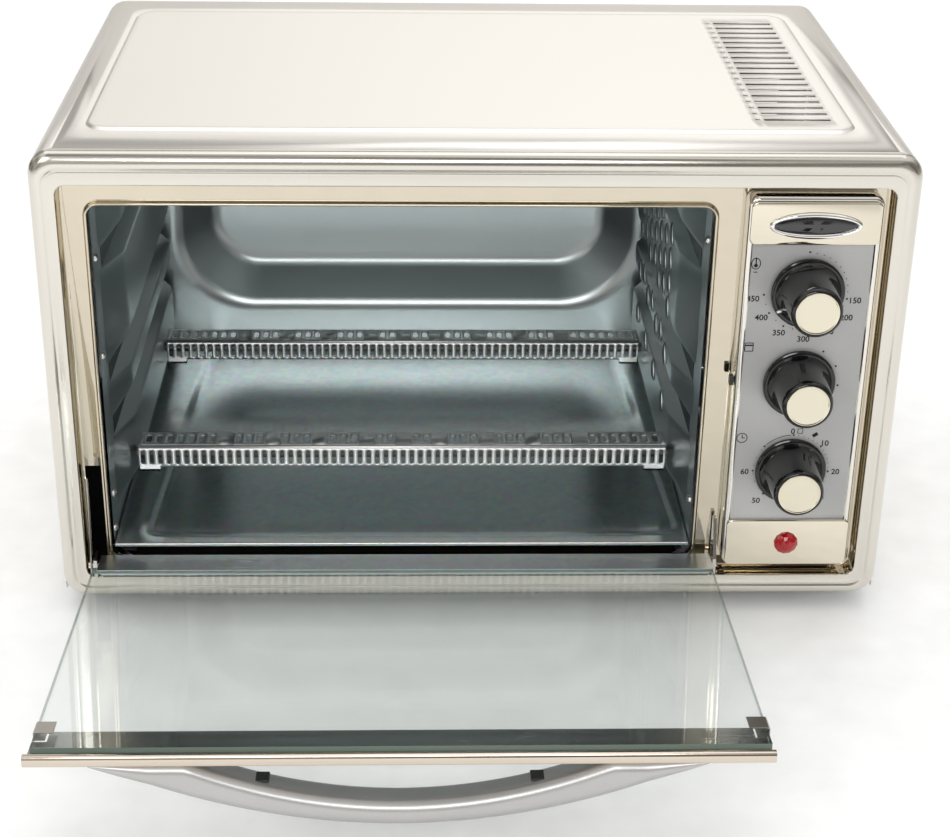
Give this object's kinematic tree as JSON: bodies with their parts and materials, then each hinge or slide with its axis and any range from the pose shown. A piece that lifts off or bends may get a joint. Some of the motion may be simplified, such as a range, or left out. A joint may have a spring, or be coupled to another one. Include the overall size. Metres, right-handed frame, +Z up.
{
  "type": "toaster oven",
  "caption": "Countertop convection toaster oven with a drop-down glass door, a bowed handle, rotary controls on the right and a vented top.",
  "frame": {"origin": "middle of the part's footprint, on the surface that its feet stand on, with the door laid open", "axes": "+Z up, +Y from the front of the oven to its back, +X to the right of someone who faces the controls"},
  "size_m": [0.5, 0.5803, 0.2985],
  "materials": {
    "bezel_steel": "polished stainless steel",
    "casing_steel": "satin stainless steel, faint warm tone",
    "galvanised_sheet": "matt galvanised sheet",
    "cavity_lining": "aluminised sheet, cool grey, soft reflections",
    "crumb_tray_sheet": "aluminised sheet, satin",
    "guard_steel": "bright satin strip",
    "element_sheath": "grey metal sheath with ceramic ends",
    "panel_paint": "silver-grey satin paint",
    "plate_steel": "polished champagne steel",
    "chrome_trim": "bright chrome plate",
    "black_enamel": "gloss black",
    "red_lens": "clear red, faceted",
    "lamp_glass": "small neon lamp",
    "black_moulding": "matt black moulding",
    "ceramic_block": "off-white ceramic insulator, unglazed",
    "knob_gloss_black": "gloss black",
    "knob_cap_metal": "satin champagne disc with a bright edge",
    "shaft_brass": "turned brass",
    "door_rail_steel": "galvanised sheet, satin",
    "door_glass": "clear tempered glass, faint green tint",
    "door_top_rail_steel": "polished stainless steel",
    "handle_paint": "silver satin paint",
    "clip_steel": "bare spring steel",
    "bracket_steel": "bare pressed steel",
    "spring_steel": "spring wire, drawn as a plain rod",
    "foot_rubber": "matt black rubber"
  },
  "bodies": {
    "cabinet": {"front_bezel": "bezel_steel", "wrap_casing": "casing_steel", "base_pan": "galvanised_sheet", "rear_panel": "galvanised_sheet", "cord_gland": "black_moulding", "foot_front_left": "foot_rubber", "foot_rear_left": "foot_rubber", "foot_front_right": "foot_rubber", "foot_rear_right": "foot_rubber", "cavity_left_wall": "cavity_lining", "cavity_right_wall": "cavity_lining", "cavity_back": "cavity_lining", "cavity_top": "cavity_lining", "cavity_floor": "cavity_lining", "crumb_tray": "crumb_tray_sheet", "element_guard_front": "guard_steel", "element_guard_rear": "guard_steel", "lower_front_element": "element_sheath", "lower_rear_element": "element_sheath", "upper_front_element": "element_sheath", "upper_rear_element": "element_sheath", "fan_housing": "galvanised_sheet", "fan_motor": "black_moulding", "control_panel": "panel_paint", "badge_plate": "plate_steel", "lower_plate": "plate_steel", "badge_rim": "chrome_trim", "badge_insert": "black_enamel", "pilot_lens": "red_lens", "pilot_lamp": "lamp_glass", "panel_side_catch": "black_moulding", "thermostat": "ceramic_block", "function_switch": "black_moulding", "timer": "black_moulding", "hinge_bracket_left": "bracket_steel", "hinge_bracket_right": "bracket_steel", "door_spring": "spring_steel"},
    "door": {"door_bottom_rail": "door_rail_steel", "door_glass": "door_glass", "door_top_rail": "door_top_rail_steel", "door_handle": "handle_paint", "handle_insert_left": "black_moulding", "handle_insert_right": "black_moulding", "glass_clip_left": "clip_steel", "glass_clip_right": "clip_steel", "hinge_pin_left": "chrome_trim", "hinge_pin_right": "chrome_trim", "door_lever": "chrome_trim"},
    "temperature_control": {"temperature_knob": "knob_gloss_black", "temperature_knob_cap": "knob_cap_metal", "temperature_shaft": "shaft_brass"},
    "function_control": {"function_knob": "knob_gloss_black", "function_knob_cap": "knob_cap_metal", "function_shaft": "shaft_brass"},
    "timer_control": {"timer_knob": "knob_gloss_black", "timer_knob_cap": "knob_cap_metal", "timer_shaft": "shaft_brass"},
    "fan": {"fan_blade": "galvanised_sheet"}
  },
  "joints": [
    {"name": "door_hinge", "type": "hinge", "parent": "cabinet", "child": "door", "pos_m": [-0.0424, -0.05565, 0.0325], "axis": [-1, 0, 0], "range_deg": [0, 84.4]},
    {"name": "temperature_turn", "type": "hinge", "parent": "cabinet", "child": "temperature_control", "pos_m": [0.1899, -0.07505, 0.2156], "axis": [0, 1, 0], "range_deg": [-237, 28.5]},
    {"name": "function_turn", "type": "hinge", "parent": "cabinet", "child": "function_control", "pos_m": [0.1899, -0.07505, 0.1581], "axis": [0, 1, 0], "range_deg": [-124, 0]},
    {"name": "timer_turn", "type": "hinge", "parent": "cabinet", "child": "timer_control", "pos_m": [0.1899, -0.07505, 0.1004], "axis": [0, 1, 0], "range_deg": [-188, 126]},
    {"name": "fan_spin", "type": "hinge", "parent": "cabinet", "child": "fan", "pos_m": [0.15, 0.12535, 0.162], "axis": [1, 0, 0], "continuous": true}
  ]
}
